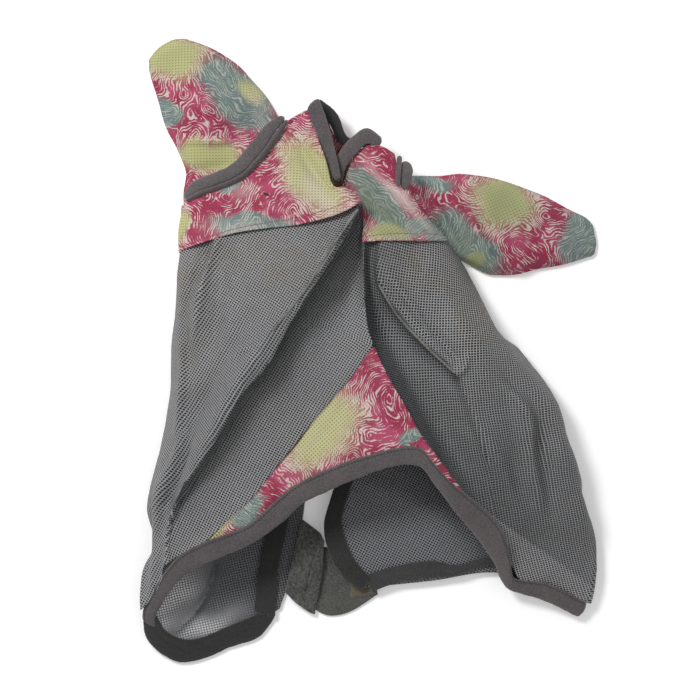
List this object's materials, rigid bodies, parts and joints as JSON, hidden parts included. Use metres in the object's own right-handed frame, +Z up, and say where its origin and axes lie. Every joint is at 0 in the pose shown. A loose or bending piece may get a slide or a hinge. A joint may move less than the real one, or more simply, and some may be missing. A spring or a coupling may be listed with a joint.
{
  "type": "horse fly mask",
  "caption": "Fine mesh horse fly mask with print ear covers, crown and nose gusset, fleece binding and a jaw closure, lying loose face up.",
  "frame": {"origin": "middle of the mask's bounding box, on the surface that it lies on", "axes": "+Z up from the surface, +Y from the nose end towards the ears and the longest extent, +X to the right as seen from above with the ears at the top"},
  "size_m": [0.453, 0.6222, 0.0881],
  "materials": {
    "face_mesh": "open woven mesh, coated yarn, soft sheen",
    "print_cloth": "printed perforated stretch knit, raspberry, lime and teal",
    "fleece_binding": "warm grey fleece, short pile",
    "fleece_inner": "dark grey fleece, short pile",
    "loop_pile": "brushed loop pile, grey green",
    "hook_tape": "hook tape, tan"
  },
  "bodies": {
    "root": {"face_mesh_left": "face_mesh", "face_mesh_right": "face_mesh", "eye_dart_left": "face_mesh", "eye_dart_right": "face_mesh", "nose_gusset": "print_cloth", "nose_gusset_side": "print_cloth", "crown_panel_left": "print_cloth", "crown_panel_right": "print_cloth", "poll_band": "print_cloth", "poll_binding_rear": "fleece_inner", "poll_binding_left": "fleece_binding", "poll_binding_right": "fleece_binding", "ear_ring_left": "fleece_binding", "ear_ring_right": "fleece_binding", "ear_root_left": "print_cloth", "ear_root_right": "print_cloth", "nose_binding_left": "fleece_binding", "nose_binding_right": "fleece_binding", "cheek_flap_left": "face_mesh", "cheek_flap_right": "face_mesh", "cheek_hem_left": "fleece_inner", "cheek_hem_right": "fleece_inner", "closure_trim_left": "fleece_inner", "closure_trim_right": "fleece_inner", "jaw_tab_right": "loop_pile", "jaw_hook_patch": "hook_tape", "throat_tab": "loop_pile", "throat_hook_patch": "hook_tape"},
    "left_ear": {"ear_front_left": "print_cloth", "ear_back_left": "print_cloth"},
    "right_ear": {"ear_front_right": "print_cloth", "ear_back_right": "print_cloth"},
    "jaw_tab": {"jaw_tab_left": "loop_pile"}
  },
  "joints": [
    {"name": "left_ear_fold", "type": "hinge", "parent": "root", "child": "left_ear", "pos_m": [-0.1376, 0.19422, 0.01595], "axis": [0.7682, 0.6402, 0], "range_deg": [0, 75]},
    {"name": "right_ear_fold", "type": "hinge", "parent": "root", "child": "right_ear", "pos_m": [0.0714, 0.12872, 0.01595], "axis": [0.5017, -0.865, 0], "range_deg": [0, 75]},
    {"name": "jaw_tab_peel", "type": "hinge", "parent": "root", "child": "jaw_tab", "pos_m": [-0.0766, -0.20428, 0.01095], "axis": [-0.2363, -0.9717, 0], "range_deg": [0, 150]}
  ]
}
